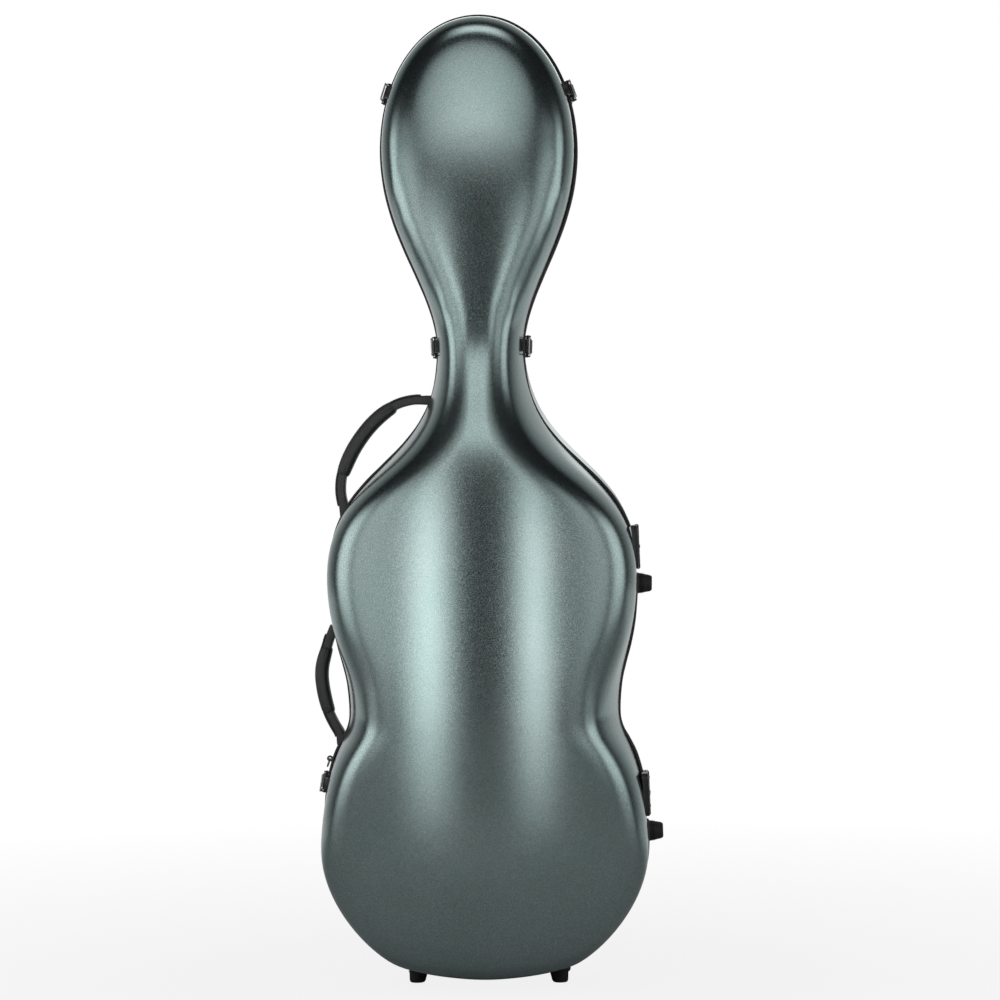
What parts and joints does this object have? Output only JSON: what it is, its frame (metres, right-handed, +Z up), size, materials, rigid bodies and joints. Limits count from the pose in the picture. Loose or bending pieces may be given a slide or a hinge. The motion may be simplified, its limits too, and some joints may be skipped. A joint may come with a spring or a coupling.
{
  "type": "cello case",
  "caption": "Hard-shell cello case standing on its end, with a crowned hinged lid, draw latches, side handles, rubber feet and a cushioned interior.",
  "frame": {"origin": "on the floor under the middle of the case's bounding box", "axes": "+Z up the length of the case, +Y from the lid to the back, +X towards the hinges"},
  "size_m": [0.4901, 0.305, 1.361],
  "materials": {
    "shell": "satin metallic green-grey",
    "rim": "matt black",
    "hardware": "satin black",
    "steel": "satin steel",
    "rubber": "matt black",
    "leather": "fine-grained black",
    "plush": "short-pile plush over foam",
    "plastic": "fine texture"
  },
  "bodies": {
    "back": {"back_shell": "shell", "back_rim": "rim", "back_lining": "plush", "upper_hinge_back_leaf": "hardware", "lower_hinge_back_leaf": "hardware", "upper_hinge_pin": "steel", "lower_hinge_pin": "steel", "head_left_latch_base": "hardware", "head_right_latch_base": "hardware", "neck_left_latch_base": "hardware", "neck_right_latch_base": "hardware", "lower_left_latch_base": "hardware", "upper_handle_strap": "leather", "upper_handle_grip": "leather", "lower_handle_strap": "leather", "lower_handle_grip": "leather", "strap_ring_bracket": "hardware", "front_left_foot": "rubber", "front_right_foot": "rubber", "rear_left_foot": "rubber", "rear_right_foot": "rubber", "upper_side_bumper": "rubber", "lower_side_bumper": "rubber", "back_runner_left": "rubber", "back_runner_right": "rubber", "neck_cradle": "plush", "neck_strap": "leather", "end_cushion": "plush", "upper_left_pad": "plush", "upper_right_pad": "plush", "lower_left_pad": "plush", "lower_right_pad": "plush", "accessory_box": "plastic"},
    "lid": {"lid_shell": "shell", "lid_rim": "rim", "lid_lining": "plush", "upper_hinge_lid_leaf": "hardware", "lower_hinge_lid_leaf": "hardware", "head_left_latch_keeper": "hardware", "head_right_latch_keeper": "hardware", "neck_left_latch_keeper": "hardware", "neck_right_latch_keeper": "hardware", "lower_left_latch_keeper": "hardware", "bow_clip_left_base": "plastic", "bow_clip_right_base": "plastic", "bow_tip_holder": "plush"},
    "head_left_lever": {"head_left_latch_lever": "hardware"},
    "head_left_bail": {"head_left_latch_bail": "steel"},
    "head_right_lever": {"head_right_latch_lever": "hardware"},
    "head_right_bail": {"head_right_latch_bail": "steel"},
    "neck_left_lever": {"neck_left_latch_lever": "hardware"},
    "neck_left_bail": {"neck_left_latch_bail": "steel"},
    "neck_right_lever": {"neck_right_latch_lever": "hardware"},
    "neck_right_bail": {"neck_right_latch_bail": "steel"},
    "lower_left_lever": {"lower_left_latch_lever": "hardware"},
    "lower_left_bail": {"lower_left_latch_bail": "steel"},
    "strap_ring": {"strap_ring": "steel"},
    "bow_clip_left": {"bow_clip_left": "plastic"},
    "bow_clip_right": {"bow_clip_right": "plastic"},
    "accessory_box_lid": {"accessory_box_lid": "plastic"}
  },
  "joints": [
    {"name": "lid_hinge", "type": "hinge", "parent": "back", "child": "lid", "pos_m": [0.22028, -0.02249, 0.391], "axis": [-0.0316, 0, 0.9995], "range_deg": [0, 120]},
    {"name": "head_left_lever_pivot", "type": "hinge", "parent": "back", "child": "head_left_lever", "pos_m": [-0.13247, -0.00849, 1.25405], "axis": [0.3161, 0, 0.9487], "range_deg": [0, 140]},
    {"name": "head_left_bail_pivot", "type": "hinge", "parent": "head_left_lever", "child": "head_left_bail", "pos_m": [-0.13588, 0.00151, 1.25519], "axis": [0.3161, 0, 0.9487], "range_deg": [-162, 0]},
    {"name": "head_right_lever_pivot", "type": "hinge", "parent": "back", "child": "head_right_lever", "pos_m": [0.12642, -0.00849, 1.25405], "axis": [0.3161, 0, -0.9487], "range_deg": [0, 140]},
    {"name": "head_right_bail_pivot", "type": "hinge", "parent": "head_right_lever", "child": "head_right_bail", "pos_m": [0.12984, 0.00151, 1.25519], "axis": [0.3161, 0, -0.9487], "range_deg": [-162, 0]},
    {"name": "neck_left_lever_pivot", "type": "hinge", "parent": "back", "child": "neck_left_lever", "pos_m": [-0.06814, -0.00849, 0.89574], "axis": [-0.0407, 0, 0.9992], "range_deg": [0, 140]},
    {"name": "neck_left_bail_pivot", "type": "hinge", "parent": "neck_left_lever", "child": "neck_left_bail", "pos_m": [-0.07174, 0.00151, 0.89559], "axis": [-0.0407, 0, 0.9992], "range_deg": [-162, 0]},
    {"name": "neck_right_lever_pivot", "type": "hinge", "parent": "back", "child": "neck_right_lever", "pos_m": [0.06209, -0.00849, 0.89574], "axis": [-0.0407, 0, -0.9992], "range_deg": [0, 140]},
    {"name": "neck_right_bail_pivot", "type": "hinge", "parent": "neck_right_lever", "child": "neck_right_bail", "pos_m": [0.06569, 0.00151, 0.89559], "axis": [-0.0407, 0, -0.9992], "range_deg": [-162, 0]},
    {"name": "lower_left_lever_pivot", "type": "hinge", "parent": "back", "child": "lower_left_lever", "pos_m": [-0.23014, -0.00849, 0.28501], "axis": [0.1564, 0, 0.9877], "range_deg": [0, 140]},
    {"name": "lower_left_bail_pivot", "type": "hinge", "parent": "lower_left_lever", "child": "lower_left_bail", "pos_m": [-0.2337, 0.00151, 0.28558], "axis": [0.1564, 0, 0.9877], "range_deg": [-162, 0]},
    {"name": "strap_ring_swing", "type": "hinge", "parent": "back", "child": "strap_ring", "pos_m": [-0.22434, -0.00449, 0.31738], "axis": [0, 1, 0], "range_deg": [0, 150]},
    {"name": "bow_clip_left_turn", "type": "hinge", "parent": "lid", "child": "bow_clip_left", "pos_m": [-0.02902, -0.12434, 0.43601], "axis": [0, 1, 0], "range_deg": [0, 90]},
    {"name": "bow_clip_right_turn", "type": "hinge", "parent": "lid", "child": "bow_clip_right", "pos_m": [0.02298, -0.12434, 0.43601], "axis": [0, 1, 0], "range_deg": [0, 90]},
    {"name": "accessory_box_lid_hinge", "type": "hinge", "parent": "back", "child": "accessory_box_lid", "pos_m": [-0.00302, -0.01139, 1.2131], "axis": [1, 0, 0], "range_deg": [0, 90]}
  ],
  "couplings": [
    {"joint": "head_left_bail_pivot", "follows": "head_left_lever_pivot", "ratio": -1.15},
    {"joint": "head_right_bail_pivot", "follows": "head_right_lever_pivot", "ratio": -1.15},
    {"joint": "neck_left_bail_pivot", "follows": "neck_left_lever_pivot", "ratio": -1.15},
    {"joint": "neck_right_bail_pivot", "follows": "neck_right_lever_pivot", "ratio": -1.15},
    {"joint": "lower_left_bail_pivot", "follows": "lower_left_lever_pivot", "ratio": -1.15}
  ]
}
